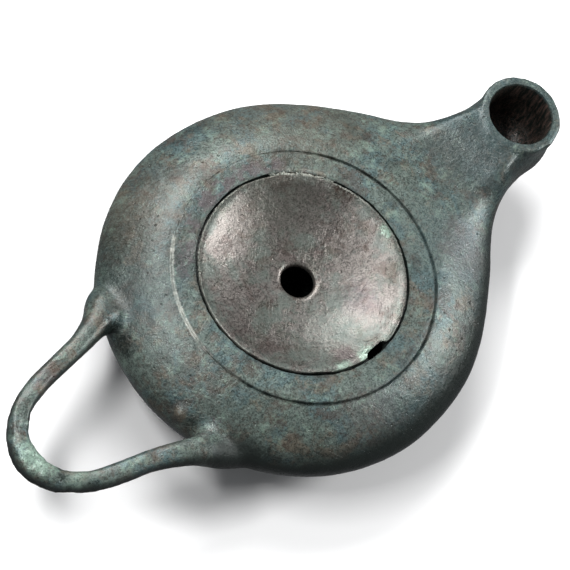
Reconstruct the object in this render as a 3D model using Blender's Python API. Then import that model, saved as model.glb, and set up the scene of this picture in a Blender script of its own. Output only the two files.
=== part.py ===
"""Ancient bronze oil lamp: a hollow cast body with nozzle, foot and finger handle,
and the separate dished disc that closes its top. Metres, +X to the nozzle, +Z up."""
import math

import bmesh
import bpy
from mathutils import Vector
from mathutils.geometry import interpolate_bezier

MM = 0.001

# Plan of the body and nozzle
BODY_R = 39.5 * MM
NECK_REACH = 22.0 * MM
NOZZLE_X = BODY_R + NECK_REACH
NOZZLE_R = 9.1 * MM
NECK_END_DEG = 66.0
NECK_WAIST = (-1.59 * NOZZLE_R, -0.11 * NOZZLE_R)
NECK_MID = (0.906 * BODY_R, 0.549 * BODY_R)
NECK_MID_RUN = (-0.751, 0.660)
NECK_PULLS = (0.177 * BODY_R, 0.177 * BODY_R, 0.203 * BODY_R)

# Heights of the shell
CROWN_Z = 24.8 * MM
EQUATOR_Z = 0.621 * CROWN_Z
NOZZLE_EQUATOR_Z = 0.653 * CROWN_Z
SHOULDER_FALL = 0.097 * CROWN_Z
BASE_Z = 0.089 * CROWN_Z
NOZZLE_BASE_Z = 0.306 * CROWN_Z
SHOULDER_ROUND = 0.33 * BODY_R
BELLY_ROUND = 0.61 * BODY_R
NOZZLE_ROUND = 0.4 * NOZZLE_R

# Walls and clearance
WALL = 2.1 * MM
CROWN_WALL = 1.05 * WALL
GAP = 0.3 * MM

# Nozzle lip and wick hole
LIP_R = 1.011 * NOZZLE_R
LIP_RISE = 0.8 * MM
LIP_Z = CROWN_Z + LIP_RISE
LIP_BEVEL = 0.35 * MM
NOZZLE_TOP_Z = 0.945 * LIP_Z
WICK_R = 0.745 * LIP_R
WICK_BEVEL = 0.6 * MM

# Top opening, its ledge and the groove round it
OPENING_R = 21.9 * MM
OPENING_OFFSET = (-0.3 * MM, -0.5 * MM)
LEDGE_W = 2.2 * MM
LEDGE_R = OPENING_R - LEDGE_W
LEDGE_Z = CROWN_Z - 0.59 * CROWN_WALL
BAND_W = 5.0 * MM
GROOVE_R = OPENING_R + BAND_W
GROOVE_OFFSET = (-0.3 * MM, -1.2 * MM)
GROOVE_W = 1.0 * MM
GROOVE_DEEP = 0.6 * MM

# Disc
DISC_R = OPENING_R - GAP
DISC_FLANGE_R = LEDGE_R - GAP
DISC_SEAT_Z = LEDGE_Z + GAP
DISC_THICK = 1.15 * MM
DISC_RIM_Z = DISC_SEAT_Z + DISC_THICK
DISC_EDGE = 0.2 * MM
DISC_LAND = 1.4 * MM
DISH_DEEP = 4.05 * MM
DISH_POWER = 2.5
HOLE_R = 3.35 * MM
HOLE_DRAW = 0.5 * MM

# Foot
FOOT_R = 17.8 * MM
FOOT_RING_W = 3.6 * MM
FOOT_BOSS_R = 3.6 * MM
FOOT_WELL_DEEP = 0.6 * BASE_Z
FOOT_SLOPE = 0.5 * MM
FOOT_TOP_Z = BASE_Z + 0.5 * WALL

# Handle loop: how far it stands out of the body, its half width and its rod
HANDLE_OUT = 28.2 * MM
HANDLE_HALF = 15.8 * MM
HANDLE_Z = 20.0 * MM
HANDLE_ROD_R = 2.15 * MM

# Centre line of the loop as shares of those sizes: out, across, drop and rod
HANDLE_LINE = (
    (-0.316, 0.949, 0.220, 1.49),
    (-0.152, 1.019, 0.110, 1.67),
    (0.004, 0.968, 0.040, 1.28),
    (0.174, 0.899, 0.010, 1.02),
    (0.387, 0.835, 0.0, 0.98),
    (0.621, 0.766, 0.0, 1.00),
    (0.798, 0.652, 0.0, 1.09),
    (0.933, 0.449, 0.0, 1.21),
    (1.000, 0.184, 0.0, 1.30),
    (0.989, -0.095, 0.0, 1.28),
    (0.897, -0.367, 0.0, 1.16),
    (0.727, -0.570, 0.0, 1.02),
    (0.528, -0.684, 0.0, 1.00),
    (0.316, -0.778, 0.005, 1.02),
    (0.124, -0.905, 0.025, 1.16),
    (-0.039, -1.025, 0.060, 1.49),
    (-0.181, -1.101, 0.130, 1.81),
    (-0.323, -1.101, 0.240, 1.67),
)

NOZZLE_RIBS = 9
NECK_RIBS = 14
BODY_RIBS = 24
TURN_STEPS = 64


def smooth(value):
    """Smoothstep of a number held between 0 and 1."""
    t = min(max(value, 0.0), 1.0)
    return t * t * (3.0 - 2.0 * t)


def blend(low, high, value):
    return low + (high - low) * smooth(value)


def equator_z(x):
    return blend(EQUATOR_Z, NOZZLE_EQUATOR_Z, 1.52 * x / BODY_R - 1.08)


def top_z(x, y):
    neck = CROWN_Z - SHOULDER_FALL * smooth(2.47 * math.hypot(x, y) / BODY_R - 1.56)
    return blend(neck, NOZZLE_TOP_Z, 1.95 + (x - NOZZLE_X) / (1.1 * NOZZLE_R))


def base_z(x):
    return blend(BASE_Z, NOZZLE_BASE_Z, 1.41 * x / BODY_R - 0.786)


def outline_ribs(inset, nozzle_ribs, neck_ribs, body_ribs):
    """Edge points of the half plan, each with the rib's root on the X axis."""
    ribs = []
    nozzle = Vector((NOZZLE_X, 0.0))
    for i in range(nozzle_ribs + 1):
        a = math.radians(90.0) * i / nozzle_ribs
        ray = Vector((math.cos(a), math.sin(a)))
        ribs.append((nozzle + ray * (NOZZLE_R - inset), nozzle))
    end = math.radians(NECK_END_DEG)
    start_p = Vector((NOZZLE_X, NOZZLE_R, 0))
    mid_p, mid_run = Vector((*NECK_MID, 0)), Vector((*NECK_MID_RUN, 0))
    end_p = Vector((math.cos(end), math.sin(end), 0)) * BODY_R
    end_run = Vector((-math.sin(end), math.cos(end), 0))
    half = neck_ribs // 2 + 1
    curve = interpolate_bezier(start_p, start_p + Vector((*NECK_WAIST, 0)),
                               mid_p - mid_run * NECK_PULLS[0], mid_p, half)
    curve += interpolate_bezier(mid_p, mid_p + mid_run * NECK_PULLS[1],
                                end_p - end_run * NECK_PULLS[2], end_p, half)[1:]
    for i in range(1, len(curve) - 1):
        run = (curve[i + 1] - curve[i - 1]).normalized()
        inward = Vector((-run.y, run.x))
        edge = curve[i].to_2d()
        root = edge - inward * (edge.y / inward.y)
        ribs.append((edge + inward * inset, Vector((root.x, 0.0))))
    for i in range(body_ribs + 1):
        a = end + (math.pi - end) * i / body_ribs
        ray = Vector((math.cos(a), math.sin(a)))
        ribs.append((ray * (BODY_R - inset), Vector((0.0, 0.0))))
    first, last = ribs[0], ribs[-1]
    ribs[0] = (Vector((first[0].x, 0.0)), first[1])
    ribs[-1] = (Vector((last[0].x, 0.0)), last[1])
    return ribs


def rib_section(edge, root, wall, crown_wall, turns, flats):
    """One rib: over the top from its root to the edge, then under back to the root."""
    length = (root - edge).length
    inward = (root - edge) / length
    near_nozzle = 2.19 * edge.x / BODY_R - 1.89
    rounds = (blend(SHOULDER_ROUND, NOZZLE_ROUND, near_nozzle) - wall,
              blend(BELLY_ROUND, NOZZLE_R, near_nozzle) - wall)
    section = []
    for side, wide in zip((1, -1), rounds):
        wide = min(max(wide, 0.15 * length), 0.8 * length)
        rows = []
        for j in range(turns + 1):
            turn = math.radians(90.0) * j / turns
            rows.append((wide * (1.0 - math.cos(turn)), math.sin(turn)))
        for j in range(1, flats + 1):
            rows.append((wide + (length - wide) * j / flats, 1.0))
        points = []
        for deep, lift in rows:
            p = edge + inward * deep
            middle = equator_z(p.x)
            if side > 0:
                far = top_z(p.x, p.y) - crown_wall
            else:
                far = base_z(p.x) + wall
            y = 0.0 if abs(p.y) < 1e-9 else p.y
            points.append((p.x, y, middle + (far - middle) * lift))
        section += points[::-1] if side > 0 else points[1:]
    return section


def shell(name, wall, crown_wall, counts, turns, flats):
    """Closed skin of the body and nozzle, set in by a wall thickness, from half ribs."""
    sections = [rib_section(e, r, wall, crown_wall, turns, flats)
                for e, r in outline_ribs(wall, *counts)]
    mesh = bpy.data.meshes.new(name)
    bm = bmesh.new()
    known = {}

    def vert(p):
        key = tuple(round(c * 1e7) for c in p)
        if key not in known:
            known[key] = bm.verts.new(p)
        return known[key]

    for here, there in zip(sections, sections[1:]):
        for j in range(len(here) - 1):
            corners = []
            for p in (here[j], there[j], there[j + 1], here[j + 1]):
                v = vert(p)
                if v not in corners:
                    corners.append(v)
            if len(corners) > 2:
                bm.faces.new(corners)
    geom = bm.verts[:] + bm.edges[:] + bm.faces[:]
    bmesh.ops.mirror(bm, geom=geom, axis="Y", merge_dist=1e-6)
    bmesh.ops.recalc_face_normals(bm, faces=bm.faces)
    bm.to_mesh(mesh)
    bm.free()
    return bpy.data.objects.new(name, mesh)


def turned(name, profile, closed, steps=TURN_STEPS, centre=(0.0, 0.0)):
    """Solid of revolution of (radius, height) points about a vertical line."""
    mesh = bpy.data.meshes.new(name)
    bm = bmesh.new()
    verts = [bm.verts.new((r, 0.0, z)) for r, z in profile]
    pairs = list(zip(verts, verts[1:])) + ([(verts[-1], verts[0])] if closed else [])
    edges = [bm.edges.new(pair) for pair in pairs]
    bmesh.ops.spin(bm, geom=verts + edges, cent=(0, 0, 0), axis=(0, 0, 1),
                   angle=math.tau, steps=steps, use_merge=True)
    bmesh.ops.remove_doubles(bm, verts=bm.verts, dist=1e-6)
    bmesh.ops.recalc_face_normals(bm, faces=bm.faces)
    bmesh.ops.translate(bm, verts=bm.verts, vec=(centre[0], centre[1], 0.0))
    bm.to_mesh(mesh)
    bm.free()
    return bpy.data.objects.new(name, mesh)


def swept_handle(name):
    """Loop handle as a round rod along a curve, thicker at its roots and its end."""
    curve = bpy.data.curves.new(name + "_line", "CURVE")
    curve.dimensions = "3D"
    curve.resolution_u = 3
    curve.bevel_depth = HANDLE_ROD_R
    curve.bevel_resolution = 2
    curve.use_fill_caps = True
    spline = curve.splines.new("BEZIER")
    spline.bezier_points.add(len(HANDLE_LINE) - 1)
    for point, (out, across, drop, thick) in zip(spline.bezier_points, HANDLE_LINE):
        point.co = (-BODY_R - out * HANDLE_OUT, across * HANDLE_HALF, HANDLE_Z * (1 - drop))
        point.radius = thick
        point.handle_left_type = point.handle_right_type = "AUTO"
    line = bpy.data.objects.new(name + "_line", curve)
    bpy.context.scene.collection.objects.link(line)
    graph = bpy.context.evaluated_depsgraph_get()
    mesh = bpy.data.meshes.new_from_object(line.evaluated_get(graph))
    bpy.data.objects.remove(line)
    bm = bmesh.new()
    bm.from_mesh(mesh)
    bmesh.ops.remove_doubles(bm, verts=bm.verts, dist=1e-6)
    bmesh.ops.recalc_face_normals(bm, faces=bm.faces)
    bm.to_mesh(mesh)
    bm.free()
    return bpy.data.objects.new(name, mesh)


def material(name, colour, metallic, roughness):
    mat = bpy.data.materials.new(name)
    mat.use_nodes = True
    shader = mat.node_tree.nodes["Principled BSDF"]
    shader.inputs["Base Color"].default_value = (*colour, 1.0)
    shader.inputs["Metallic"].default_value = metallic
    shader.inputs["Roughness"].default_value = roughness
    mat.diffuse_color = (*colour, 1.0)
    return mat


def combine(target, other, operation, helpers):
    helpers.objects.link(other)
    other.hide_render = True
    other.display_type = "WIRE"
    modifier = target.modifiers.new(other.name, "BOOLEAN")
    modifier.operation = operation
    modifier.solver = "EXACT"
    modifier.object = other


def build_body(parts, helpers):
    body = shell("lamp_body", 0.0, 0.0, (NOZZLE_RIBS, NECK_RIBS, BODY_RIBS), 8, 3)
    parts.objects.link(body)

    lip_low = 0.5 * CROWN_Z
    lip = turned("lip", ((0, lip_low), (0.85 * LIP_R, lip_low),
                         (0.985 * LIP_R, 0.86 * LIP_Z), (LIP_R, LIP_Z - LIP_BEVEL),
                         (LIP_R - LIP_BEVEL, LIP_Z), (0, LIP_Z)), False, 40, (NOZZLE_X, 0))
    combine(body, lip, "UNION", helpers)
    combine(body, swept_handle("handle"), "UNION", helpers)
    well_r = FOOT_R - FOOT_RING_W
    foot = turned("foot", ((0, 0), (FOOT_BOSS_R, 0),
                           (FOOT_BOSS_R + FOOT_SLOPE, FOOT_WELL_DEEP),
                           (well_r - FOOT_SLOPE, FOOT_WELL_DEEP), (well_r, 0),
                           (FOOT_R, 0), (FOOT_R + FOOT_SLOPE, 0.5 * FOOT_TOP_Z),
                           (FOOT_R, FOOT_TOP_Z), (0, FOOT_TOP_Z)), False, 48)
    combine(body, foot, "UNION", helpers)

    hollow = shell("hollow", WALL, CROWN_WALL, (6, 10, 16), 5, 2)
    combine(body, hollow, "DIFFERENCE", helpers)
    above = LIP_Z + WALL
    opening = turned("opening", ((0, EQUATOR_Z), (LEDGE_R, EQUATOR_Z), (LEDGE_R, LEDGE_Z),
                                 (OPENING_R, LEDGE_Z), (OPENING_R, above), (0, above)),
                     False, TURN_STEPS, OPENING_OFFSET)
    combine(body, opening, "DIFFERENCE", helpers)
    flare_r = WICK_R + (above - LIP_Z + WICK_BEVEL)
    wick = turned("wick_hole", ((0, lip_low), (WICK_R, lip_low), (WICK_R, LIP_Z - WICK_BEVEL),
                                (flare_r, above), (0, above)), False, 40, (NOZZLE_X, 0))
    combine(body, wick, "DIFFERENCE", helpers)
    top = CROWN_Z + GROOVE_DEEP
    groove = turned("groove", ((GROOVE_R - GROOVE_W, top), (GROOVE_R, CROWN_Z - GROOVE_DEEP),
                               (GROOVE_R + GROOVE_W, top)), True, TURN_STEPS, GROOVE_OFFSET)
    combine(body, groove, "DIFFERENCE", helpers)
    body.data.materials.append(material("bronze_patina", (0.10, 0.15, 0.13), 0.35, 0.5))


def build_disc(parts):
    dish_r, hole_r = DISC_R - DISC_LAND, HOLE_R + HOLE_DRAW
    dish = []
    for i in range(9):
        r = hole_r + (dish_r - hole_r) * i / 8
        fall = DISH_DEEP * (1.0 - (r / dish_r) ** DISH_POWER)
        dish.append((r, DISC_RIM_Z - 0.8 * DISC_EDGE - fall))
    floor_z = dish[0][1]
    top = [(HOLE_R, floor_z - 0.7 * HOLE_DRAW)] + dish + [
        (DISC_R - 0.5 * DISC_LAND, DISC_RIM_Z), (DISC_R - DISC_EDGE, DISC_RIM_Z),
        (DISC_R, DISC_RIM_Z - DISC_EDGE)]
    under = [(DISC_R, DISC_SEAT_Z + DISC_EDGE), (DISC_R - DISC_EDGE, DISC_SEAT_Z),
             (DISC_FLANGE_R, DISC_SEAT_Z)]
    under += [(r - 0.3 * DISC_THICK, z - DISC_THICK) for r, z in dish[-2:0:-2]]
    under += [(HOLE_R, floor_z - 1.1 * DISC_THICK)]
    disc = turned("discus", top + under, True, 48, OPENING_OFFSET)
    disc.data.materials.append(material("disc_bronze", (0.17, 0.15, 0.12), 0.6, 0.4))
    parts.objects.link(disc)


def main():
    for obj in list(bpy.data.objects):
        bpy.data.objects.remove(obj, do_unlink=True)
    parts = bpy.data.collections.new("parts")
    helpers = bpy.data.collections.new("helpers")
    bpy.context.scene.collection.children.link(parts)
    bpy.context.scene.collection.children.link(helpers)
    build_body(parts, helpers)
    build_disc(parts)


main()
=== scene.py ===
"""Surface of an ancient bronze oil lamp: a cast body with nozzle, foot and finger handle, and the
dished disc in its top. Laid out as an add-on, with sizes in metres and patterns in millimetres."""
import math

import bmesh
import bpy
import numpy as np
from bpy.props import FloatProperty, FloatVectorProperty, PointerProperty
from mathutils import Matrix, Vector, noise
from mathutils.geometry import interpolate_bezier


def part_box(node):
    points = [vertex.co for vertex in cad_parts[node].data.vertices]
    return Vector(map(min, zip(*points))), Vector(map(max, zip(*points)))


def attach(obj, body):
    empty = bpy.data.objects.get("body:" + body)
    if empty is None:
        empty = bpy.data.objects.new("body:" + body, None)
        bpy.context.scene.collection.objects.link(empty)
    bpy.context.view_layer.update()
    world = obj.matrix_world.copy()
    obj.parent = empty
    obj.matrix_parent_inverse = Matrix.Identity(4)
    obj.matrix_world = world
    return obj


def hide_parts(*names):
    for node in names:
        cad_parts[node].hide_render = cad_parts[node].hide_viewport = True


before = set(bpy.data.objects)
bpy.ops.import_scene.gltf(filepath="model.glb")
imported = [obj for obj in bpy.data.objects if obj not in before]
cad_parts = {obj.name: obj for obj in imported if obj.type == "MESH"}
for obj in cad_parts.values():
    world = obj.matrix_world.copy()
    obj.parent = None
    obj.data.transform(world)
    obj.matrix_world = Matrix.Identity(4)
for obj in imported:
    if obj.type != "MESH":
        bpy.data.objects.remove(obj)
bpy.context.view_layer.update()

bl_info = {
    "name": "Ancient Oil Lamp",
    "version": (1, 0, 0),
    "blender": (4, 5, 0),
    "location": "View3D > Sidebar > Oil Lamp",
    "description": "Cast bronze oil lamp with a dished disc, its patina and a plain stage",
    "category": "Add Mesh",
}

MM = 0.001
BODY_LOW, BODY_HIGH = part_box("lamp_body")
DISC_LOW, DISC_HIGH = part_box("discus")
DISC_CENTRE = 0.5 * (DISC_LOW + DISC_HIGH)
DISC_MIDDLE = DISC_CENTRE / MM

# Shares of the body's radius, the nozzle's radius and the crown's height
NECK_END_DEG = 66.0
NECK_WAIST = (-1.59, -0.11)
NECK_MID = (0.906, 0.549)
NECK_MID_RUN = (-0.751, 0.660)
NECK_PULLS = (0.177, 0.177, 0.203)
EQUATORS = (0.621, 0.653)
BASES = (0.089, 0.306)
SHOULDER_FALL = 0.097
BODY_ROUNDS = (0.33, 0.61)
NOZZLE_ROUNDS = (0.4, 1.0)
NOZZLE_TOP = 0.982

# Centre line of the handle as shares of its reach and half width: out, across, drop, thickness
HANDLE_LINE = (
    (-0.300, 1.200, 0.260, 1.45),
    (-0.165, 1.095, 0.135, 1.67),
    (0.004, 0.985, 0.045, 1.34),
    (0.174, 0.899, 0.010, 1.02),
    (0.387, 0.835, 0.0, 0.98),
    (0.621, 0.766, 0.0, 1.00),
    (0.798, 0.652, 0.0, 1.09),
    (0.933, 0.449, 0.0, 1.21),
    (1.000, 0.184, 0.0, 1.30),
    (0.989, -0.095, 0.0, 1.28),
    (0.897, -0.367, 0.0, 1.16),
    (0.727, -0.570, 0.0, 1.02),
    (0.528, -0.684, 0.0, 1.00),
    (0.316, -0.778, 0.005, 1.02),
    (0.124, -0.905, 0.025, 1.16),
    (-0.039, -1.035, 0.060, 1.49),
    (-0.165, -1.130, 0.165, 1.62),
    (-0.295, -1.245, 0.300, 1.50),
    (-0.430, -1.375, 0.400, 1.25),
)
HANDLE_END_THICK = 1.3

# Places in millimetres where the handle's roots flow into the bowl, and the reach of each blend
HANDLE_ROOTS = ((-36.5, 16.5, 19.0), (-34.5, 20.0, 18.0), (-36.8, -17.6, 19.0), (-33.0, -23.0, 18.0))
ROOT_FILLET = 7.5

# Corrosion lumps and dents, the wart by the handle and the swelling of its upper root, in
# millimetres: centre, radius, height
LUMPS = (
    ((-67.2, 2.4, 22.3), 2.1, 0.35),
    ((-66.8, 5.9, 22.3), 1.4, 0.30),
    ((-66.7, -1.6, 22.3), 1.6, 0.25),
    ((-63.6, -7.6, 22.2), 1.7, 0.22),
    ((-57.5, 11.1, 22.2), 1.5, 0.20),
    ((-52.4, 12.6, 22.0), 1.6, -0.22),
    ((-47.4, -12.0, 22.0), 1.5, -0.20),
    ((-37.3, -8.1, 18.3), 1.5, 0.75),
    ((-33.6, 22.0, 16.5), 5.0, 0.75),
    ((46.9, -7.1, 22.6), 0.8, -0.25),
    ((44.4, -8.2, 22.6), 0.8, -0.22),
    ((51.0, 3.0, 23.0), 2.5, -0.15),
)

# Broad bulges and one hollow where the bowl and the neck leave their even outline, listed alike
BULGES = (
    ((12.0, 36.5, 15.5), 8.0, 0.22),
    ((18.0, 34.0, 15.5), 8.0, 0.42),
    ((23.5, 30.8, 15.5), 8.0, 0.56),
    ((28.7, 27.0, 15.5), 8.0, 0.60),
    ((33.4, 22.7, 15.5), 8.0, 0.62),
    ((38.1, 18.4, 15.5), 8.0, 0.48),
    ((50.5, 10.0, 18.5), 6.0, -0.65),
    ((40.0, -18.2, 14.5), 8.0, 0.28),
    ((35.2, -22.7, 14.5), 8.0, 0.40),
    ((30.0, -27.1, 14.5), 8.0, 0.46),
    ((24.6, -31.4, 14.5), 8.0, 0.46),
    ((18.9, -34.8, 14.5), 8.0, 0.30),
)

# Direction in which the painted shade of the lower sides climbs highest, as millimetres of height for
# each millimetre
SHADE_LEAN = (0.045, -0.165, 0.0)

# Darkened places in millimetres, from where they are darkest to where they end: painted shade on the
# lower sides and the flanks of the handle's rod, the inside of the nozzle, and painted shade in the gap
# and down the filling hole
SIDES_Z = (13.0, 17.8)
FLANK_Z = (20.0, 22.3)
FLANK_X = (-43.0, -39.0)
NOZZLE_Z = (24.7, 25.3)
GAP_Z = (24.45, 24.75)
MOUTH_Z = (18.6, 20.4)

# Centre and radius in millimetres of the painted shade in the hollow under the handle's root, of the
# nozzle's hole, and the radius of the gap that is painted dark as shade
ROOT_SHADE = ((-35.0, -22.8, 0.0), 7.0)
NOZZLE_HOLE = ((61.5, 0.0, 0.0), 7.7)
GAP_RADIUS = 22.45

# Wear of the cast skin, the handle's worn end and the disc, in layers of (size, depth)
BODY_WEAR = ((13 * MM, 0.16 * MM), (3.4 * MM, 0.08 * MM), (1.2 * MM, 0.05 * MM))
HANDLE_WEAR = ((3.0 * MM, 0.55 * MM), (1.1 * MM, 0.25 * MM))
DISC_WEAR = ((7 * MM, 0.16 * MM), (2.2 * MM, 0.06 * MM))

# Ribs over the nozzle, neck and bowl, with the steps round each rib's edge and along its flat
OUTER_RIBS = ((24, 40, 70), 18, 10)
INNER_RIBS = ((8, 14, 24), 8, 3)

# Rounds of smoothing that melt the handle's roots into the bowl, and those for the whole skin
FILLET_ROUNDS = 26
SKIN_ROUNDS = 2

# Sliver broken from the disc's edge, as angles about the disc's centre
SLIVER_DEG = (-94.0, -78.0)
SLIVER_DEEP = 1.25 * MM

# The turned groove: its radius, and how far its centre lies below the disc's in the plan
GROOVE_RADIUS = 26.9 * MM
GROOVE_SHIFT = 0.7 * MM

# Softboxes: name, direction as seen by the camera, distance, length, width, power
SOFTBOXES = (
    ("left", (-0.27, 0.38, 0.88), 0.75, 0.34, 0.09, 3.3),
    ("right", (0.92, 0.28, 0.22), 0.70, 0.20, 0.20, 3.5),
    ("top", (-0.02, 0.90, 0.44), 0.80, 0.46, 0.38, 6.8),
)
FLOOR_HALF = 1.5
WORLD_LIGHT = 0.20


def length_prop(name, description, default, low):
    """Property that holds a length in metres."""
    return FloatProperty(name=name, description=description, default=default, min=low,
                         unit="LENGTH")


def colour_prop(name, description, default):
    """Property that holds a colour."""
    return FloatVectorProperty(name=name, description=description, default=default, size=3,
                               min=0.0, max=1.0, subtype="COLOR")


class LampSizes(bpy.types.PropertyGroup):
    """Sizes of the cast body and of the disc."""
    body_radius: length_prop("Body radius", "Radius of the round body in plan", BODY_HIGH.y, 0.01)
    crown_height: length_prop("Crown height", "Height of the flat top round the opening",
                              BODY_HIGH.z - 0.8 * MM, 0.005)
    lip_height: length_prop("Lip height", "Height of the nozzle's lip", BODY_HIGH.z, 0.005)
    lip_radius: length_prop("Lip radius", "Outer radius of the nozzle's lip", 9.2 * MM, 0.002)
    nozzle_radius: length_prop("Nozzle radius", "Radius of the nozzle below its lip",
                               9.1 * MM, 0.002)
    wick_radius: length_prop("Wick hole radius", "Radius of the hole in the nozzle",
                             6.6 * MM, 0.001)
    opening_radius: length_prop("Opening radius", "Radius of the opening that the disc closes",
                                DISC_HIGH.x - DISC_CENTRE.x + 0.15 * MM, 0.005)
    ledge_width: length_prop("Ledge width", "Width of the ledge under the disc's edge",
                             2.2 * MM, 0.0005)
    ledge_depth: length_prop("Ledge depth", "Depth of the ledge below the crown", 1.3 * MM, 0.0005)
    wall: length_prop("Wall", "Thickness of the cast wall", 2.1 * MM, 0.0005)
    groove_radius: length_prop("Groove radius", "Radius of the line cut round the opening",
                               GROOVE_RADIUS, 0.005)
    groove_width: length_prop("Groove half width", "Half the width of that line", 0.62 * MM, 0.0001)
    groove_depth: length_prop("Groove depth", "Depth of that line where it is deepest",
                              0.5 * MM, 0.0001)
    foot_radius: length_prop("Foot radius", "Outer radius of the turned foot", 17.8 * MM, 0.002)
    handle_rod: length_prop("Handle rod", "Half thickness of the handle's rod where it is thinnest",
                            2.15 * MM, 0.0005)
    handle_half: length_prop("Handle half width", "Half the width of the finger loop",
                             15.8 * MM, 0.002)
    handle_height: length_prop("Handle height", "Height of the rod's centre over the table",
                               20.0 * MM, 0.002)
    disc_radius: length_prop("Disc radius", "Radius of the disc where its edge is whole",
                             DISC_HIGH.x - DISC_CENTRE.x - 0.03 * MM, 0.005)
    disc_rim: length_prop("Disc rim height", "Height of the disc's edge", DISC_HIGH.z, 0.005)
    disc_thickness: length_prop("Disc thickness", "Thickness of the disc's sheet", 1.1 * MM, 0.0002)
    dish_depth: length_prop("Dish depth", "Depth of the dish at the filling hole",
                            4.05 * MM, 0.0005)
    hole_radius: length_prop("Filling hole radius", "Radius of the hole in the dish",
                             3.35 * MM, 0.0005)
    cell: length_prop("Mesh cell", "Edge length of the body's surface mesh", 0.46 * MM, 0.0002)


class LampFinish(bpy.types.PropertyGroup):
    """Colours of the patina, the bare bronze and the corrosion."""
    green: colour_prop("Grey green", "Main colour of the body's patina", (0.084, 0.109, 0.096))
    teal: colour_prop("Blue green", "Cooler areas of the patina", (0.055, 0.094, 0.098))
    olive: colour_prop("Olive", "Warmer areas of the patina", (0.102, 0.088, 0.066))
    umber: colour_prop("Brown", "Brown specks and worn places", (0.060, 0.042, 0.033))
    plum: colour_prop("Purple grey", "Old solder and stripped metal", (0.082, 0.066, 0.070))
    # Black green is soot and dirt in specks and pits. It is also the colour of the painted shade on the
    # lower sides, the handle's flanks and roots, the neck, the gap and down the filling hole
    soot_and_shade: colour_prop("Black green", "Lower sides, hollows and gaps", (0.010, 0.015, 0.013))
    verdigris: colour_prop("Pale green", "Crust and grains of corrosion", (0.26, 0.37, 0.30))
    rust: colour_prop("Red brown", "Red-brown corrosion on the handle and the nozzle",
                      (0.20, 0.072, 0.035))
    chalk: colour_prop("Chalk", "Pale powdery edges and worn lines", (0.34, 0.35, 0.31))
    disc: colour_prop("Disc bronze", "Warm grey-brown metal of the disc", (0.138, 0.126, 0.116))
    disc_warm: colour_prop("Disc warm tone", "Browner areas of the disc", (0.105, 0.088, 0.081))
    disc_dark: colour_prop("Disc shadow tone", "Darker areas of the disc", (0.092, 0.094, 0.080))


class LampStage(bpy.types.PropertyGroup):
    """Camera, lights and floor."""
    azimuth: FloatProperty(
        name="Azimuth", description="Turn of the camera about the lamp",
        default=math.radians(-71.0), subtype="ANGLE")
    elevation: FloatProperty(
        name="Elevation", description="Height of the camera as an angle",
        default=math.radians(61.78), subtype="ANGLE")
    roll: FloatProperty(
        name="Roll", description="Turn of the picture about the line of sight",
        default=math.radians(33.29), subtype="ANGLE")
    target: FloatVectorProperty(
        name="Target", description="Point in the middle of the picture",
        default=(-1.81 * MM, 0.72 * MM, 18.0 * MM), size=3, subtype="XYZ", unit="LENGTH")
    distance: FloatProperty(
        name="Distance", description="Distance from the camera to the target",
        default=0.56, unit="LENGTH")
    lens: FloatProperty(
        name="Lens", description="Focal length on a 36 mm sensor, in millimetres",
        default=178.7)
    floor: colour_prop("Floor colour", "Colour of the pale floor", (0.90, 0.90, 0.90))


def blend(low, high, value):
    """Smoothstep from low to high."""
    t = min(max(value, 0.0), 1.0)
    return low + (high - low) * t * t * (3.0 - 2.0 * t)


def nozzle_x(s):
    return BODY_HIGH.x - s.lip_radius


def equator_z(s, x):
    low, high = (share * s.crown_height for share in EQUATORS)
    return blend(low, high, 1.52 * x / s.body_radius - 1.08)


def top_z(s, x, y):
    fall = SHOULDER_FALL * s.crown_height
    crown = s.crown_height - blend(0.0, fall, 2.47 * math.hypot(x, y) / s.body_radius - 1.56)
    return blend(crown, NOZZLE_TOP * s.lip_height,
                 1.95 + (x - nozzle_x(s)) / (1.1 * s.nozzle_radius))


def base_z(s, x):
    low, high = (share * s.crown_height for share in BASES)
    return blend(low, high, 1.41 * x / s.body_radius - 0.786)


def outline_ribs(s, inset, nozzle_ribs, neck_ribs, body_ribs):
    """Edge points of the half plan, each with the rib's root on the X axis."""
    ribs = []
    nozzle = Vector((nozzle_x(s), 0.0))
    for i in range(nozzle_ribs + 1):
        a = math.radians(90.0) * i / nozzle_ribs
        ray = Vector((math.cos(a), math.sin(a)))
        ribs.append((nozzle + ray * (s.nozzle_radius - inset), nozzle))
    end = math.radians(NECK_END_DEG)
    pulls = [pull * s.body_radius for pull in NECK_PULLS]
    start_p = Vector((nozzle.x, s.nozzle_radius, 0))
    waist = Vector((*NECK_WAIST, 0)) * s.nozzle_radius
    mid_p, mid_run = Vector((*NECK_MID, 0)) * s.body_radius, Vector((*NECK_MID_RUN, 0))
    end_p = Vector((math.cos(end), math.sin(end), 0)) * s.body_radius
    end_run = Vector((-math.sin(end), math.cos(end), 0))
    half = neck_ribs // 2 + 1
    curve = interpolate_bezier(start_p, start_p + waist, mid_p - mid_run * pulls[0], mid_p, half)
    curve += interpolate_bezier(mid_p, mid_p + mid_run * pulls[1],
                                end_p - end_run * pulls[2], end_p, half)[1:]
    for before, here, after in zip(curve, curve[1:], curve[2:]):
        run = (after - before).normalized()
        inward = Vector((-run.y, run.x))
        edge = here.to_2d()
        root = edge - inward * (edge.y / inward.y)
        ribs.append((edge + inward * inset, Vector((root.x, 0.0))))
    for i in range(body_ribs + 1):
        a = end + (math.pi - end) * i / body_ribs
        ray = Vector((math.cos(a), math.sin(a)))
        ribs.append((ray * (s.body_radius - inset), Vector((0.0, 0.0))))
    for i in (0, -1):
        ribs[i] = (Vector((ribs[i][0].x, 0.0)), ribs[i][1])
    return ribs


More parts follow.
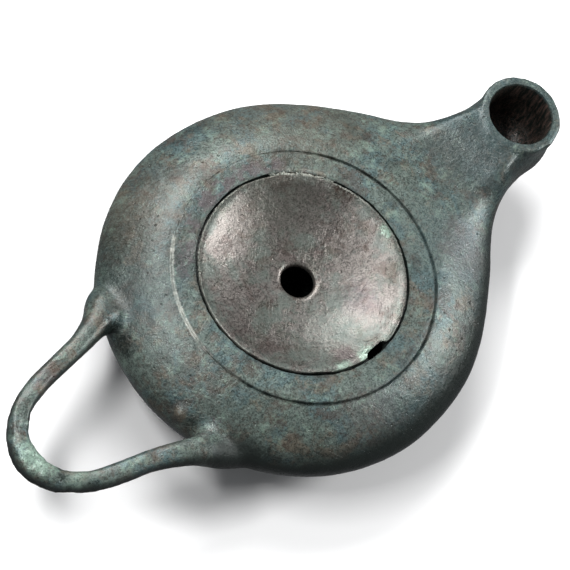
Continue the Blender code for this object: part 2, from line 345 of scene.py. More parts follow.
def rib_section(s, edge, root, wall, crown_wall, turns, flats):
    """One rib: over the top from its root to the edge, then under back to the root."""
    length = (root - edge).length
    inward = (root - edge) / length
    near_nozzle = 2.19 * edge.x / s.body_radius - 1.89
    section = []
    for side in (0, 1):
        wide = blend(BODY_ROUNDS[side] * s.body_radius,
                     NOZZLE_ROUNDS[side] * s.nozzle_radius, near_nozzle) - wall
        wide = min(max(wide, 0.15 * length), 0.8 * length)
        angles = [math.radians(90.0) * j / turns for j in range(turns + 1)]
        rows = [(wide * (1.0 - math.cos(a)), math.sin(a)) for a in angles]
        rows += [(wide + (length - wide) * j / flats, 1.0) for j in range(1, flats + 1)]
        points = []
        for deep, lift in rows:
            p = edge + inward * deep
            middle = equator_z(s, p.x)
            far = base_z(s, p.x) + wall if side else top_z(s, p.x, p.y) - crown_wall
            y = 0.0 if abs(p.y) < 1e-9 else p.y
            points.append((p.x, y, middle + (far - middle) * lift))
        section += points[1:] if side else points[::-1]
    return section


def mesh_from(bm, name):
    mesh = bpy.data.meshes.new(name)
    bm.to_mesh(mesh)
    bm.free()
    return mesh


def skin_mesh(s, wall, crown_wall, counts, turns, flats):
    """Closed skin of the body and nozzle, set in by a wall thickness, from half ribs."""
    sections = [rib_section(s, edge, root, wall, crown_wall, turns, flats)
                for edge, root in outline_ribs(s, wall, *counts)]
    bm = bmesh.new()
    known = {}

    def vert(p):
        key = tuple(round(c * 1e7) for c in p)
        if key not in known:
            known[key] = bm.verts.new(p)
        return known[key]

    for here, there in zip(sections, sections[1:]):
        for j in range(len(here) - 1):
            corners = []
            for p in (here[j], there[j], there[j + 1], here[j + 1]):
                v = vert(p)
                if v not in corners:
                    corners.append(v)
            if len(corners) > 2:
                bm.faces.new(corners)
    bmesh.ops.mirror(bm, geom=bm.verts[:] + bm.edges[:] + bm.faces[:], axis="Y", merge_dist=1e-6)
    bmesh.ops.recalc_face_normals(bm, faces=bm.faces)
    return mesh_from(bm, "skin")


def turned_mesh(profile, steps, centre=(0.0, 0.0), closed=False, wear=None):
    """Turned solid of (radius, height) points. wear(angle, row, radius, height) may move each."""
    bm = bmesh.new()
    columns = []
    for i in range(steps):
        a = math.tau * i / steps
        column = []
        for row, (r, z) in enumerate(profile):
            if wear and r > 0.0:
                r, z = wear(a, row, r, z)
            column.append(bm.verts.new((centre[0] + r * math.cos(a),
                                        centre[1] + r * math.sin(a), z)))
        columns.append(column + column[:1] if closed else column)
    for here, there in zip(columns, columns[1:] + columns[:1]):
        for j in range(len(here) - 1):
            bm.faces.new((here[j], here[j + 1], there[j + 1], there[j]))
    bmesh.ops.remove_doubles(bm, verts=bm.verts, dist=1e-6)
    bmesh.ops.recalc_face_normals(bm, faces=bm.faces)
    return mesh_from(bm, "turned")


def angle_bump(angle, start_deg, end_deg, soft_deg):
    """1 between two angles, falling to 0 over a soft margin inside each end."""
    middle, half = 0.5 * (start_deg + end_deg), 0.5 * (end_deg - start_deg)
    away = abs((math.degrees(angle) - middle + 180.0) % 360.0 - 180.0)
    return blend(0.0, 1.0, (half - away) / soft_deg)


def ripple(angle, radius, size, seed):
    """Noise from 0 to 1 along a circle, with bumps of a given size."""
    point = Vector((math.cos(angle), math.sin(angle), 0.0)) * (radius / size)
    return 0.5 + 0.5 * noise.noise(point + Vector((0.0, 0.0, seed)))


def handle_mesh(s):
    """Handle as a bar of rounded square section, swept along its centre line."""
    reach = -BODY_LOW.x - s.body_radius - HANDLE_END_THICK * s.handle_rod
    knots = [Vector((-s.body_radius - out * reach, across * s.handle_half,
                     s.handle_height * (1.0 - drop), thick))
             for out, across, drop, thick in HANDLE_LINE]
    line = []
    for a, b, c, d in zip(knots, knots[1:], knots[2:], knots[3:]):
        for j in range(5):
            t = j / 5
            line.append(0.5 * (2 * b + (c - a) * t + (2 * a - 5 * b + 4 * c - d) * t ** 2
                               + (3 * b - a - 3 * c + d) * t ** 3))
    line = [knots[0]] + line + knots[-2:]
    bm = bmesh.new()
    rings = []
    around = 24
    for before, here, after in zip(line[:1] + line, line, line[1:] + line[-1:]):
        run = (after - before).to_3d().normalized()
        side = run.cross(Vector((0, 0, 1))).normalized()
        up = side.cross(run)
        wide = s.handle_rod * here.w * (1.0 + 0.35 * max(here.w - 1.3, 0.0))
        tall = s.handle_rod * (0.35 + 0.72 * here.w)
        ring = []
        for i in range(around):
            a = math.tau * i / around
            u, v = (math.copysign(abs(f) ** 0.68, f) for f in (math.cos(a), math.sin(a)))
            ring.append(bm.verts.new(here.to_3d() + side * wide * u + up * tall * v))
        rings.append(ring)
    for here, there in zip(rings, rings[1:]):
        for i in range(around):
            j = (i + 1) % around
            bm.faces.new((here[i], here[j], there[j], there[i]))
    bm.faces.new(rings[0])
    bm.faces.new(rings[-1])
    bmesh.ops.recalc_face_normals(bm, faces=bm.faces)
    return mesh_from(bm, "handle")


def evaluated(obj):
    graph = bpy.context.evaluated_depsgraph_get()
    return bpy.data.meshes.new_from_object(obj.evaluated_get(graph))


def new_object(name, data):
    obj = bpy.data.objects.new(name, data)
    bpy.context.scene.collection.objects.link(obj)
    return obj


def joined(meshes):
    bm = bmesh.new()
    for mesh in meshes:
        bm.from_mesh(mesh)
    return mesh_from(bm, "joined")


def carve(mesh, others, operation):
    """Mesh after exact unions with, or cuts by, the other meshes."""
    target = new_object("target", mesh)
    tools = [new_object("tool", other) for other in others]
    for tool in tools:
        modifier = target.modifiers.new("carve", "BOOLEAN")
        modifier.operation = operation
        modifier.solver = "EXACT"
        modifier.object = tool
    result = evaluated(target)
    for obj in [target] + tools:
        bpy.data.objects.remove(obj)
    return result


def remeshed(mesh, cell):
    obj = new_object("remesh", mesh)
    modifier = obj.modifiers.new("remesh", "REMESH")
    modifier.mode = "VOXEL"
    modifier.voxel_size = cell
    result = evaluated(obj)
    bpy.data.objects.remove(obj)
    return result


def get_points(mesh, key="co"):
    values = np.empty(len(mesh.vertices) * 3)
    mesh.vertices.foreach_get(key, values)
    return values.reshape(-1, 3)


def set_points(mesh, points):
    mesh.vertices.foreach_set("co", points.ravel())
    mesh.update()


def relax(points, edges, rounds, weight):
    """Moves each point towards the mean of its neighbours, by a weight of its own."""
    count = np.bincount(edges.ravel(), minlength=len(points))[:, None]
    for _ in range(rounds):
        total = np.zeros_like(points)
        for axis in range(3):
            for here, there in ((0, 1), (1, 0)):
                total[:, axis] += np.bincount(edges[:, here], points[edges[:, there], axis],
                                              len(points))
        points = points + weight * (total / count - points)
    return points


def roughness_field(points, size, octaves=2):
    """Fractal noise at each point, about -1 to 1."""
    return np.array([noise.fractal(Vector(p), 1.0, 2.1, octaves) for p in points / size])


def weathered(mesh, wear, lumps=(), share=1.0):
    """Wears a surface inwards by layers of (size, depth) and adds single lumps and dents."""
    points, normals = get_points(mesh), get_points(mesh, "normal")
    lift = np.zeros(len(points))
    for size, depth in wear:
        lift -= depth * (0.5 + 0.5 * roughness_field(points, size))
    for centre, radius, height in lumps:
        away = np.linalg.norm(points - np.array(centre) * MM, axis=1) / (radius * MM)
        lift += height * MM * np.exp(-away ** 2)
    set_points(mesh, points + normals * (share * lift)[:, None])


def cast_skin(s):
    """Outer surface of body, nozzle, foot and handle as one worn casting."""
    lip_low = 0.5 * s.crown_height

    def worn_lip(angle, row, r, z):
        chip = 0.75 * ripple(angle, r, 2.2 * MM, 3.0) ** 2 + 0.30 * ripple(angle, r, 0.9 * MM, 7.0)
        return (r - chip * MM, z - 0.20 * MM * ripple(angle, r, 2.0 * MM, 9.0)) if row > 1 else (r, z)

    lip = turned_mesh(((0, lip_low), (0.85 * s.lip_radius, lip_low),
                       (0.985 * s.lip_radius, 0.86 * s.lip_height),
                       (s.lip_radius, s.lip_height - 0.4 * MM),
                       (s.lip_radius - 0.35 * MM, s.lip_height), (0, s.lip_height)),
                      96, (nozzle_x(s), 0.0), wear=worn_lip)
    base = BASES[0] * s.crown_height
    foot = turned_mesh(((0, 0), (s.foot_radius, 0), (s.foot_radius + 0.5 * MM, 0.7 * base),
                        (s.foot_radius, base + MM), (0, base + MM)), 96)
    skin = skin_mesh(s, 0.0, 0.0, *OUTER_RIBS)
    mesh = remeshed(joined([skin, handle_mesh(s), lip, foot]), s.cell)
    points = get_points(mesh)
    edges = np.empty(len(mesh.edges) * 2, np.int64)
    mesh.edges.foreach_get("vertices", edges)
    edges = edges.reshape(-1, 2)
    fillet = np.zeros(len(points))
    for root in HANDLE_ROOTS:
        away = np.linalg.norm(points - np.array(root) * MM, axis=1) / (ROOT_FILLET * MM)
        fillet = np.maximum(fillet, np.clip(1.6 - 1.6 * away, 0.0, 0.6))
    across = np.hypot(points[:, 0] - nozzle_x(s), points[:, 1])
    under_lip = (np.abs(across - s.nozzle_radius) < 2.5 * MM) & (points[:, 2] < s.lip_height - 1.4 * MM)
    fillet[under_lip & (points[:, 2] > 0.6 * s.lip_height)] = 0.35
    points = relax(points, edges, FILLET_ROUNDS, fillet[:, None])
    points = relax(points, edges, SKIN_ROUNDS, 0.4)
    set_points(mesh, points)
    weathered(mesh, BODY_WEAR, LUMPS + BULGES)
    points = get_points(mesh)
    handle_end = np.clip((-57.0 * MM - points[:, 0]) / (7 * MM), 0.0, 1.0)
    weathered(mesh, HANDLE_WEAR, share=handle_end)
    points = np.clip(get_points(mesh), np.array(BODY_LOW), np.array(BODY_HIGH))
    set_points(mesh, points)
    return mesh


def body_cutters(s):
    """Inside of the vessel, opening with its ledge, wick hole, groove and foot well."""
    crown, above = s.crown_height, s.lip_height + 2 * MM
    centre = (DISC_CENTRE.x, DISC_CENTRE.y)
    equator = EQUATORS[0] * crown
    ledge_r, ledge_z = s.opening_radius - s.ledge_width, crown - s.ledge_depth
    hollow = skin_mesh(s, s.wall, 2 * s.ledge_depth, *INNER_RIBS)

    def worn_opening(angle, row, r, z):
        if row in (1, 2):
            return r + 0.93 * s.ledge_width * angle_bump(angle, *SLIVER_DEG, 2.0), z
        if row > 3:
            chips = 0.30 * ripple(angle, r, 1.6 * MM, 1.0) ** 2 + 0.12 * ripple(angle, r, 0.6 * MM, 2.0)
            return r + chips * MM, z
        return r + 0.10 * MM * ripple(angle, r, 2.0 * MM, 4.0), z

    edge_r = s.opening_radius - 0.12 * MM
    opening = turned_mesh(((0, equator), (ledge_r, equator), (ledge_r, ledge_z),
                           (edge_r, ledge_z), (edge_r, crown - 0.25 * MM),
                           (edge_r + 0.08 * MM, crown - 0.08 * MM),
                           (edge_r + 0.25 * MM, crown + 0.3 * MM), (edge_r, above), (0, above)),
                          240, centre, wear=worn_opening)
    lip_z = s.lip_height

    def worn_wick(angle, row, r, z):
        return (r + 0.22 * MM * ripple(angle, r, 1.4 * MM, 5.0), z) if row > 1 else (r, z)

    wick = turned_mesh(((0, 0.5 * crown), (s.wick_radius, 0.5 * crown),
                        (s.wick_radius, lip_z - 0.7 * MM), (s.wick_radius + 0.25 * MM, lip_z - 0.25 * MM),
                        (s.wick_radius + 0.6 * MM, lip_z + 0.3 * MM), (s.wick_radius, above), (0, above)),
                       96, (nozzle_x(s), 0.0), wear=worn_wick)

    groove_y = DISC_CENTRE.y - GROOVE_SHIFT

    def worn_groove(angle, row, r, z):
        faint = angle_bump(angle, 30.0, 205.0, 30.0)
        r += 0.25 * MM * (ripple(angle, r, 9 * MM, 6.0) - 0.5)
        z = top_z(s, DISC_CENTRE.x + r * math.cos(angle), groove_y + r * math.sin(angle))
        if row == 1:
            lost = 0.72 * faint + 0.30 * ripple(angle, r, 2.5 * MM, 8.0)
            return r, z - 0.18 * MM - s.groove_depth * (1.0 - lost)
        return r, z + 0.3 * MM

    groove = turned_mesh(((s.groove_radius - s.groove_width, crown), (s.groove_radius, crown),
                          (s.groove_radius + s.groove_width, crown)),
                         240, (DISC_CENTRE.x, groove_y), True, worn_groove)
    base = BASES[0] * crown
    ring_in, boss = s.foot_radius - 3.6 * MM, 3.6 * MM
    well = turned_mesh(((boss, -MM), (boss, 0), (boss + 0.5 * MM, 0.5 * base),
                        (boss + 2.0 * MM, 0.6 * base), (ring_in - 2.2 * MM, 0.6 * base),
                        (ring_in - 0.6 * MM, 0.45 * base), (ring_in, 0), (ring_in, -MM)),
                       96, closed=True)
    return carve(hollow, [opening, wick, groove, well], "UNION")


def shade(mesh, degrees):
    mesh.shade_smooth()
    mesh.set_sharp_from_angle(angle=math.radians(degrees))


def finish_piece(obj, node, material):
    """Gives a piece its finish, hides the solid it stands for, and binds it to the body."""
    obj.data.materials.clear()
    obj.data.materials.append(material)
    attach(obj, "root")
    if node:
        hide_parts(node)


def disc_mesh(s):
    """Dished disc with a worn, broken edge and a drawn filling hole."""
    land, edge = 1.4 * MM, 0.22 * MM
    radius, rim = s.disc_radius, s.disc_rim - 0.05 * MM
    dish_r, mouth_r = radius - land, s.hole_radius + 1.3 * MM
    dish = []
    for i in range(41):
        r = mouth_r + (dish_r - mouth_r) * i / 40
        dish.append((r, rim - 0.8 * edge - s.dish_depth * (1.0 - (r / dish_r) ** 2.5)))
    lip_z = dish[0][1]
    lip = []
    for i in range(9):
        a = math.radians(90.0) * i / 9
        lip.append((mouth_r - 1.3 * MM * math.sin(a), lip_z - 0.75 * MM * (1.0 - math.cos(a))))
    top = lip[::-1] + dish[1:] + [(radius - 0.7 * land, rim - 0.05 * MM), (radius - 0.35 * land, rim),
                                  (radius - edge, rim), (radius, rim - edge)]
    seat = rim - 1.1 * MM
    under = [(radius, seat + edge), (radius - edge, seat), (radius - 2.3 * MM, seat)]
    under += [(r, z - s.disc_thickness) for r, z in dish[-5:0:-4]]
    under += [(s.hole_radius, lip_z - 1.6 * MM)]
    profile = top + under
    first_edge = len(top) - 3

    def worn_disc(angle, row, r, z):
        if r < dish_r:
            return r, z
        sliver = SLIVER_DEEP * angle_bump(angle, *SLIVER_DEG, 3.5)
        left = angle_bump(angle, 100.0, 160.0, 20.0)
        ragged = (0.10 + 0.40 * left) * ripple(angle, r, 1.8 * MM, 11.0) ** 3
        ragged += 0.16 * ripple(angle, r, 0.7 * MM, 12.0)
        ragged += 0.40 * ripple(angle, r, 5.0 * MM, 15.0) ** 3
        pull = sliver + ragged * MM
        share = (r - dish_r) / (radius - dish_r)
        height = 0.12 * MM * (ripple(angle, r, 4 * MM, 13.0) - 0.5) if row >= first_edge else 0.0
        return r - pull * share, z + height - 0.06 * MM

    mesh = turned_mesh(profile, 220, (DISC_CENTRE.x, DISC_CENTRE.y), True, worn_disc)
    weathered(mesh, DISC_WEAR)
    low, high = np.array(DISC_LOW), np.array(DISC_HIGH)
    set_points(mesh, np.clip(get_points(mesh), low, high))
    return mesh


def add_node(tree, kind, inputs=(), **settings):
    """New node with its settings, and its inputs linked or given a value."""
    made = tree.nodes.new(kind)
    for key, value in settings.items():
        setattr(made, key, value)
    for socket, value in dict(inputs).items():
        if isinstance(value, bpy.types.NodeSocket):
            tree.links.new(value, made.inputs[socket])
        else:
            made.inputs[socket].default_value = value
    return made


def calc(tree, operation, a, b=0.0, clamp=False):
    return add_node(tree, "ShaderNodeMath", {0: a, 1: b}, operation=operation,
                    use_clamp=clamp).outputs[0]


def ramp(tree, value, low, high, start=0.0, end=1.0):
    """Smooth ramp of a value from start at low to end at high."""
    return add_node(tree, "ShaderNodeMapRange",
                    {"Value": value, "From Min": low, "From Max": high, "To Min": start,
                     "To Max": end}, interpolation_type="SMOOTHSTEP").outputs["Result"]


def vector_calc(tree, operation, a, b=(0.0, 0.0, 0.0), output="Vector"):
    return add_node(tree, "ShaderNodeVectorMath", {0: a, 1: b},
                    operation=operation).outputs[output]


def mix(tree, factor, a, b, kind="MIX"):
    a, b = (v if isinstance(v, bpy.types.NodeSocket) else (*v, 1.0) for v in (a, b))
    return add_node(tree, "ShaderNodeMix", {0: factor, 6: a, 7: b}, data_type="RGBA",
                    blend_type=kind).outputs[2]


def noise_at(tree, coords, scale, detail=4.0, rough=0.6, warp=0.0):
    return add_node(tree, "ShaderNodeTexNoise",
                    {"Vector": coords, "Scale": scale, "Detail": detail, "Roughness": rough,
                     "Distortion": warp}).outputs["Fac"]


def new_tree(name, kind, inputs, outputs):
    """Node group with named sockets; returns it with its input and output nodes."""
    tree = bpy.data.node_groups.new(name, kind)
    for label, socket, default in inputs:
        made = tree.interface.new_socket(label, in_out="INPUT", socket_type=socket)
        if default is not None:
            made.default_value = default
    for label, socket in outputs:
        tree.interface.new_socket(label, in_out="OUTPUT", socket_type=socket)
    return tree, tree.nodes.new("NodeGroupInput").outputs, tree.nodes.new("NodeGroupOutput").inputs


FLOAT, VECTOR, COLOUR = "NodeSocketFloat", "NodeSocketVector", "NodeSocketColor"
GREY = (0.5, 0.5, 0.5, 1.0)


def mottling_group():
    """Three patina tones in drifting areas, with fine speckle over them."""
    tree, given, put = new_tree(
        "Patina Mottling", "ShaderNodeTree",
        (("Coords", VECTOR, None), ("Main", COLOUR, GREY), ("Cool", COLOUR, GREY),
         ("Warm", COLOUR, GREY), ("Area", FLOAT, 14.0), ("Speckle", FLOAT, 0.8),
         ("Contrast", FLOAT, 0.35)),
        (("Colour", COLOUR), ("Tone", FLOAT)))
    coords = given["Coords"]
    area = calc(tree, "DIVIDE", 1.0, given["Area"])
    cool = ramp(tree, noise_at(tree, coords, area, 9.0, 0.70, 0.4), 0.47, 0.57)
    shifted = vector_calc(tree, "ADD", coords, (37.0, 11.0, 5.0))
    fine_area = calc(tree, "MULTIPLY", area, 1.8)
    warm = ramp(tree, noise_at(tree, shifted, fine_area, 8.0, 0.74, 0.3), 0.51, 0.62)
    colour = mix(tree, calc(tree, "MULTIPLY", cool, 0.8), given["Main"], given["Cool"])
    colour = mix(tree, calc(tree, "MULTIPLY", warm, 0.85), colour, given["Warm"])
    per_speckle = calc(tree, "DIVIDE", 1.0, given["Speckle"])
    speckle = ramp(tree, noise_at(tree, coords, per_speckle, 6.0, 0.8), 0.38, 0.62)
    finer = calc(tree, "MULTIPLY", per_speckle, 2.7)
    dust = ramp(tree, noise_at(tree, shifted, finer, 2.0, 0.7), 0.38, 0.62)
    tone = add_node(tree, "ShaderNodeMix", {0: 0.5, 2: speckle, 3: dust}).outputs[0]
    low = calc(tree, "SUBTRACT", 1.0, given["Contrast"])
    high = calc(tree, "ADD", 1.0, given["Contrast"])
    shade_by = add_node(tree, "ShaderNodeMapRange", {"Value": tone, "To Min": low, "To Max": high})
    grey = add_node(tree, "ShaderNodeCombineColor",
                    {i: shade_by.outputs["Result"] for i in range(3)}).outputs[0]
    tree.links.new(mix(tree, 1.0, colour, grey, "MULTIPLY"), put["Colour"])
    tree.links.new(tone, put["Tone"])
    return tree


def grain_group():
    """Height of a sandy cast skin with scattered pits."""
    tree, given, put = new_tree(
        "Cast Grain", "ShaderNodeTree",
        (("Coords", VECTOR, None), ("Grain", FLOAT, 0.35), ("Pit Spacing", FLOAT, 2.2),
         ("Pit Depth", FLOAT, 0.5)),
        (("Height", FLOAT), ("Pits", FLOAT)))
    coords = given["Coords"]
    fine = noise_at(tree, coords, calc(tree, "DIVIDE", 1.0, given["Grain"]), 5.0, 0.65)
    broad = noise_at(tree, coords, calc(tree, "DIVIDE", 0.22, given["Grain"]), 3.0, 0.5)
    cells = add_node(tree, "ShaderNodeTexVoronoi",
                     {"Vector": coords, "Scale": calc(tree, "DIVIDE", 1.0, given["Pit Spacing"])})
    pits = ramp(tree, cells.outputs["Distance"], 0.05, 0.20, 1.0, 0.0)
    kept = ramp(tree, noise_at(tree, coords, 0.35, 2.0), 0.45, 0.60)
    pits = calc(tree, "MULTIPLY", pits, kept)
    height = calc(tree, "ADD", calc(tree, "MULTIPLY", fine, 0.6), calc(tree, "MULTIPLY", broad, 0.9))
    height = calc(tree, "SUBTRACT", height, calc(tree, "MULTIPLY", pits, given["Pit Depth"]))
    tree.links.new(height, put["Height"])
    tree.links.new(pits, put["Pits"])
    return tree


def scratch_group():
    """Mask of short fine scratches that run one way, in patches."""
    tree, given, put = new_tree(
        "Wear Scratches", "ShaderNodeTree",
        (("Coords", VECTOR, None), ("Turn", FLOAT, 0.0), ("Length", FLOAT, 4.0),
         ("Width", FLOAT, 0.25)),
        (("Mask", FLOAT),))
    turned = add_node(tree, "ShaderNodeVectorRotate",
                      {"Vector": given["Coords"], "Angle": given["Turn"]},
                      rotation_type="Z_AXIS").outputs[0]
    along, across = (calc(tree, "DIVIDE", 1.0, given[key]) for key in ("Length", "Width"))
    scale = add_node(tree, "ShaderNodeCombineXYZ", {0: along, 1: across, 2: along}).outputs[0]
    drawn = vector_calc(tree, "MULTIPLY", turned, scale)
    lines = ramp(tree, noise_at(tree, drawn, 1.0, 3.0, 0.6), 0.56, 0.70)
    areas = ramp(tree, noise_at(tree, given["Coords"], 0.12, 3.0), 0.42, 0.60)
    tree.links.new(calc(tree, "MULTIPLY", lines, areas), put["Mask"])
    return tree


def spot_group():
    """Mask of one ragged spot."""
    tree, given, put = new_tree(
        "Ragged Spot", "ShaderNodeTree",
        (("Coords", VECTOR, None), ("Centre", VECTOR, None), ("Radius", FLOAT, 2.0),
         ("Ragged", FLOAT, 2.0)),
        (("Mask", FLOAT),))
    away = vector_calc(tree, "DISTANCE", given["Coords"], given["Centre"], "Value")
    away = calc(tree, "DIVIDE", away, given["Radius"])
    rough = calc(tree, "SUBTRACT", noise_at(tree, given["Coords"], 0.9, 5.0, 0.7), 0.5)
    away = calc(tree, "ADD", away, calc(tree, "MULTIPLY", rough, given["Ragged"]))
    broken = ramp(tree, noise_at(tree, given["Coords"], 2.2, 4.0, 0.7), 0.36, 0.56, 0.25, 1.0)
    mask = calc(tree, "MULTIPLY", ramp(tree, away, 0.35, 1.15, 1.0, 0.0), broken)
    tree.links.new(mask, put["Mask"])
    return tree


def ring_group():
    """Mask of a ragged line or band that runs round a centre, over part of its turn."""
    tree, given, put = new_tree(
        "Ring Mark", "ShaderNodeTree",
        (("Coords", VECTOR, None), ("Centre", VECTOR, None), ("Radius", FLOAT, 20.0),
         ("Width", FLOAT, 0.5), ("Towards", VECTOR, None), ("Reach", FLOAT, -1.1),
         ("Ragged", FLOAT, 0.8), ("Soft", FLOAT, 0.5)),
        (("Mask", FLOAT),))
    flat = vector_calc(tree, "SUBTRACT", given["Coords"], given["Centre"])
    flat = vector_calc(tree, "MULTIPLY", flat, (1.0, 1.0, 0.0))
    length = vector_calc(tree, "LENGTH", flat, output="Value")
    off = calc(tree, "ABSOLUTE", calc(tree, "SUBTRACT", length, given["Radius"]))
    off = calc(tree, "DIVIDE", off, given["Width"])
    rough = calc(tree, "SUBTRACT", noise_at(tree, given["Coords"], 0.8, 5.0, 0.7), 0.5)
    off = calc(tree, "ADD", off, calc(tree, "MULTIPLY", rough, given["Ragged"]))
    line = ramp(tree, off, calc(tree, "SUBTRACT", 1.0, given["Soft"]), 1.0, 1.0, 0.0)
    worn = calc(tree, "SUBTRACT", 1.0, given["Ragged"], True)
    line = calc(tree, "MULTIPLY", line, ramp(tree, noise_at(tree, given["Coords"], 0.42, 3.0),
                                             0.44, 0.56, worn))
    ray = vector_calc(tree, "NORMALIZE", flat)
    facing = vector_calc(tree, "DOT_PRODUCT", ray, given["Towards"], "Value")
    facing = calc(tree, "ADD", facing, calc(tree, "MULTIPLY", rough, 0.12))
    part = ramp(tree, calc(tree, "SUBTRACT", facing, given["Reach"]), 0.0, 0.06)
    tree.links.new(calc(tree, "MULTIPLY", line, part), put["Mask"])
    return tree


def group(name):
    """Shader group by its name, built when it is first asked for."""
    makers = {"Patina Mottling": mottling_group, "Cast Grain": grain_group,
              "Wear Scratches": scratch_group, "Ragged Spot": spot_group,
              "Ring Mark": ring_group}
    return bpy.data.node_groups.get(name) or makers[name]()


def placed(tree, name, **inputs):
    """Places a shader group in a material with its own values."""
    made = tree.nodes.new("ShaderNodeGroup")
    made.node_tree = group(name)
    for key, value in inputs.items():
        socket = made.inputs[key.replace("_", " ")]
        if isinstance(value, bpy.types.NodeSocket):
            tree.links.new(value, socket)
        elif socket.type == "RGBA":
            socket.default_value = (*value, 1.0)
        else:
            socket.default_value = value
    return made.outputs


def new_material(name):
    """Material with its Principled shader and its object coordinates in millimetres."""
    material = bpy.data.materials.new(name)
    material.use_nodes = True
    tree = material.node_tree
    place = add_node(tree, "ShaderNodeTexCoord").outputs["Object"]
    coords = add_node(tree, "ShaderNodeMapping", {"Vector": place, "Scale": (1000.0,) * 3}).outputs[0]
    return material, tree, tree.nodes["Principled BSDF"], coords


def towards(degrees):
    """Level direction at an angle from the X axis."""
    return (math.cos(math.radians(degrees)), math.sin(math.radians(degrees)), 0.0)


def add_spots(tree, coords, colour, spots):
    """Lays ragged spots of (tint, centre, radius, strength) over a colour."""
    for tint, centre, radius, strength in spots:
        mask = placed(tree, "Ragged Spot", Coords=coords, Centre=centre, Radius=radius)["Mask"]
        colour = laid_over(tree, colour, tint, mask, strength)
    return colour


def laid_over(tree, colour, tint, mask, strength):
    """Colour with a tint laid over it where a mask is, at a given strength."""
    return mix(tree, calc(tree, "MULTIPLY", mask, strength), colour, tint)


def patches(tree, coords, scale, detail, rough, warp, low, high):
    """Mask of ragged patches where a noise rises above a threshold."""
    return ramp(tree, noise_at(tree, coords, scale, detail, rough, warp), low, high)


def ring_mask(tree, coords, centre, radius, width, ragged, angle=None, spread=0.0, soft=0.5):
    """Mask of a ring mark all round its centre, or only near one angle, in degrees."""
    part = {}
    if angle is not None:
        part = {"Towards": towards(angle), "Reach": math.cos(math.radians(spread))}
    return placed(tree, "Ring Mark", Coords=coords, Centre=centre, Radius=radius, Width=width,
                  Ragged=ragged, Soft=soft, **part)["Mask"]


def disc_mask(tree, coords, centre, radius, soft):
    """Mask of a round place seen from above, with a soft edge inside its radius."""
    return ring_mask(tree, coords, centre, 0.0, radius, 0.0, soft=soft)


def add_bump(tree, shader, grain, scratches, scratch_depth, distance):
    """Bump of the sandy grain and its pits, with the scratches cut into it."""
    cuts = calc(tree, "MULTIPLY", scratches, scratch_depth)
    height = calc(tree, "SUBTRACT", grain["Height"], cuts)
    bump = add_node(tree, "ShaderNodeBump", {"Strength": 0.9, "Distance": distance,
                                             "Height": height})
    tree.links.new(bump.outputs[0], shader.inputs["Normal"])


def body_marks(f):
    """Single stains and worn places of the body, with spots of painted shade and one painted highlight:
    tint, centre, radius, strength.
    """
    return (
        (f.olive, (22.0, 30.0, 23.0), 20.0, 0.45),
        (f.umber, (-14.0, 32.0, 22.0), 12.0, 0.30),
        (f.teal, (29.0, -14.0, 24.0), 14.0, 0.50),
        (f.teal, (-28.0, 14.0, 24.0), 13.0, 0.35),
        (f.olive, (-19.0, 28.0, 21.0), 10.0, 0.60),
        # Painted shade on the left shoulder
        (f.soot_and_shade, (-27.0, 22.0, 21.0), 15.0, 0.60),
        (f.teal, (2.0, -33.0, 22.0), 12.0, 0.40),
        (f.rust, (-57.5, 11.1, 22.0), 1.6, 0.28),
        (f.rust, (-52.9, 12.3, 22.0), 1.5, 0.22),
        (f.rust, (-48.1, 13.0, 22.0), 1.4, 0.18),
        (f.plum, (-55.0, 11.7, 22.0), 3.0, 0.50),
        (f.verdigris, (-67.2, 2.4, 21.5), 3.2, 0.55),
        (f.verdigris, (-63.5, -7.5, 21.5), 3.2, 0.35),
        (f.rust, (-66.8, 5.7, 21.5), 1.6, 0.30),
        (f.soot_and_shade, (-64.9, -4.6, 22.0), 2.4, 0.80),
        (f.soot_and_shade, (-61.5, -9.4, 22.0), 2.2, 0.70),
        (f.soot_and_shade, (-67.0, 6.4, 22.0), 1.6, 0.60),
        # Painted shadow on the bowl under the handle's +Y arm
        (f.soot_and_shade, (-38.6, 11.8, 19.0), 3.4, 1.00),
        (f.soot_and_shade, (-37.9, 12.8, 19.8), 2.6, 1.00),
        (f.soot_and_shade, (-37.6, 9.0, 18.5), 3.0, 1.00),
        # Painted shade under the handle's -Y root
        (f.soot_and_shade, (-35.5, -19.6, 19.0), 5.2, 0.95),
        (f.soot_and_shade, (-30.5, -25.0, 18.5), 4.6, 0.80),
        (f.olive, (-37.3, -8.1, 18.6), 1.8, 0.90),
        (f.soot_and_shade, (-36.0, -10.4, 18.8), 1.5, 0.80),
        (f.plum, (-39.8, -11.6, 20.5), 1.8, 0.8),
        (f.plum, (-36.8, -12.8, 20.8), 1.8, 0.8),
        (f.plum, (-33.9, -13.9, 21.5), 1.8, 0.8),
        (f.rust, (66.2, -3.3, 25.4), 1.6, 0.35),
        (f.umber, (46.9, -7.1, 22.4), 1.9, 0.9),
        (f.umber, (44.4, -8.2, 22.4), 1.8, 0.9),
        (f.plum, (-8.0, -31.0, 23.0), 8.0, 0.35),
        (f.plum, (33.0, -16.0, 23.0), 9.0, 0.40),
        (f.olive, (44.0, 1.0, 23.0), 8.0, 0.50),
        # Painted shade on the neck's lower side
        (f.soot_and_shade, (50.0, -4.5, 22.0), 10.0, 0.62),
        # Darker and bluer over the neck and round the nozzle
        (f.teal, (49.0, 1.0, 22.5), 12.0, 0.60),
        (f.soot_and_shade, (48.0, 3.0, 22.5), 12.0, 0.55),
        (f.teal, (61.5, 0.0, 25.0), 12.0, 0.70),
        (f.soot_and_shade, (62.0, -1.0, 24.0), 12.0, 0.45),
        # Painted shade at the crease of the neck's lower side
        (f.soot_and_shade, (54.5, -6.5, 21.0), 5.0, 0.70),
        # Pale crust on the handle's end, laid on strongly so that it also stands in as a painted
        # highlight
        (f.verdigris, (-66.5, -0.5, 22.0), 4.0, 0.75),
    )


